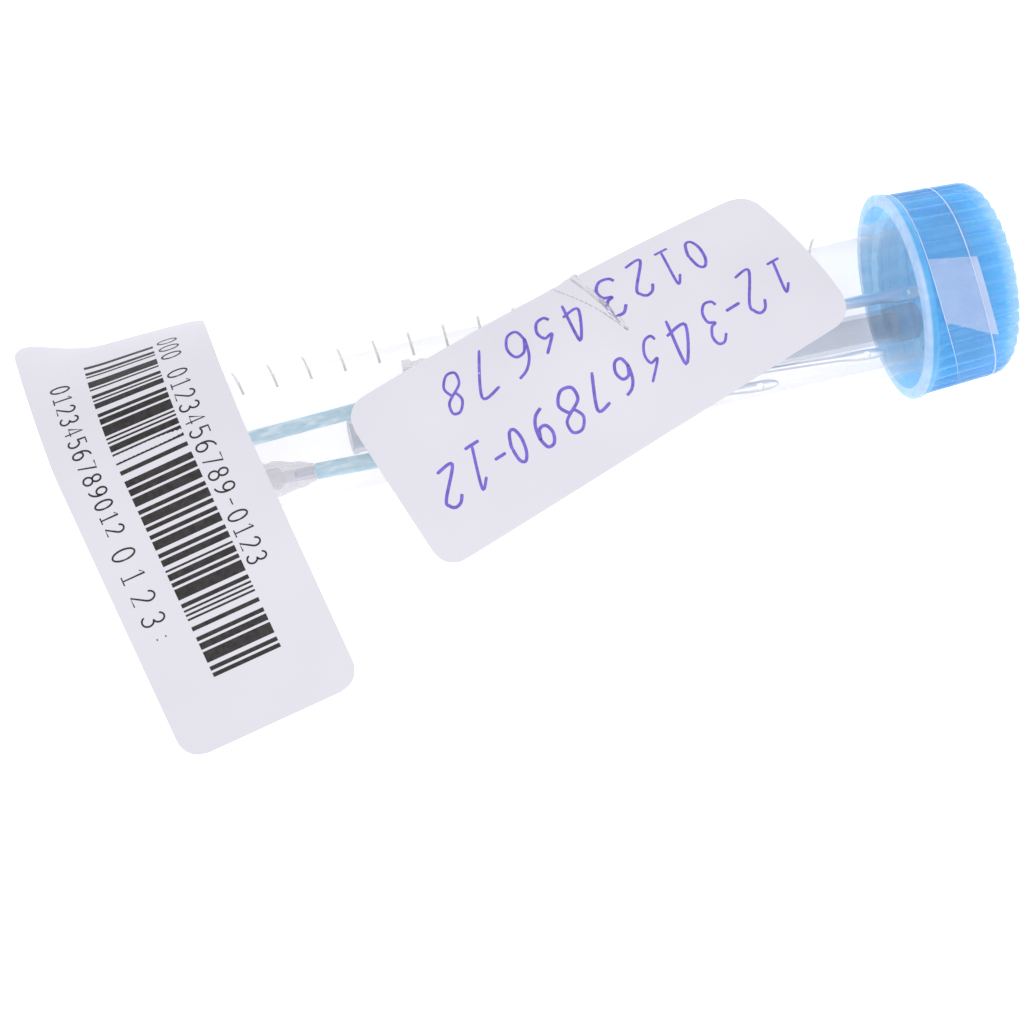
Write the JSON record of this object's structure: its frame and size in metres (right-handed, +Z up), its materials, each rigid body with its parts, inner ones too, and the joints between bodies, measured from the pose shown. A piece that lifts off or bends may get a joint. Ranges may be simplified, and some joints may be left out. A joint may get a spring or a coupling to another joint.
{
  "type": "screw-cap centrifuge tube",
  "caption": "Clear conical tube with a ribbed blue screw cap and two paper stickers, lying on its side and holding needle-like pokers with plastic hubs and a hollow handle.",
  "frame": {"origin": "centre of the cap's flat end face", "axes": "+X along the tube and out of the cap, +Z up with the tube lying on its side, +Y to the side"},
  "size_m": [0.104, 0.0465, 0.0228],
  "materials": {
    "clear_plastic": "clear, smooth moulded polypropylene",
    "cap_blue": "translucent sky blue, satin, finely ribbed",
    "liner_plastic": "soft translucent white sealing disc",
    "paper": "matt white adhesive paper",
    "steel": "polished steel",
    "sleeve_blue": "pale blue translucent sleeve with a fine diagonal wrap",
    "hub_plastic": "greyish translucent moulded plastic",
    "handle_plastic": "greyish clear moulded plastic"
  },
  "bodies": {
    "tube": {"tube_body": "clear_plastic", "barcode_label": "paper", "written_label": "paper"},
    "liner": {"cap_liner": "liner_plastic"},
    "cap": {"cap_shell": "cap_blue"},
    "poker_09": {"poker_09_hub": "hub_plastic", "poker_09_sleeve": "sleeve_blue", "poker_09_needle": "steel"},
    "poker_10": {"poker_10_hub": "hub_plastic", "poker_10_sleeve": "sleeve_blue", "poker_10_needle": "steel"},
    "poker_12": {"poker_12_hub": "hub_plastic", "poker_12_sleeve": "sleeve_blue", "poker_12_needle": "steel"},
    "poker_14": {"poker_14_hub": "hub_plastic", "poker_14_sleeve": "sleeve_blue", "poker_14_needle": "steel"},
    "poker_16": {"poker_16_hub": "hub_plastic", "poker_16_sleeve": "sleeve_blue", "poker_16_needle": "steel"},
    "handle": {"handle": "handle_plastic"}
  },
  "joints": [
    {"name": "cap_travel", "type": "slide", "parent": "tube", "child": "liner", "axis": [1, 0, 0], "range_m": [0, 0.0096]},
    {"name": "cap_turn", "type": "hinge", "parent": "liner", "child": "cap", "pos_m": [0, 0, 0], "axis": [1, 0, 0], "range_deg": [0, 1080]},
    {"name": "poker_09_slide", "type": "slide", "parent": "tube", "child": "poker_09", "axis": [1, 0, 0], "range_m": [-0.0015, 0.0045]},
    {"name": "poker_10_slide", "type": "slide", "parent": "tube", "child": "poker_10", "axis": [1, 0, 0], "range_m": [-0.0015, 0.002]},
    {"name": "poker_12_slide", "type": "slide", "parent": "tube", "child": "poker_12", "axis": [1, 0, 0], "range_m": [-0.001, 0.003]},
    {"name": "poker_14_slide", "type": "slide", "parent": "tube", "child": "poker_14", "axis": [1, 0, 0], "range_m": [-0.002, 0.002]},
    {"name": "poker_16_slide", "type": "slide", "parent": "tube", "child": "poker_16", "axis": [1, 0, 0], "range_m": [-0.002, 0.008]},
    {"name": "handle_slide", "type": "slide", "parent": "tube", "child": "handle", "axis": [1, 0, 0], "range_m": [-0.001, 0.003]}
  ],
  "couplings": [
    {"joint": "cap_travel", "follows": "cap_turn", "m_per_rad": 0.0005093}
  ]
}
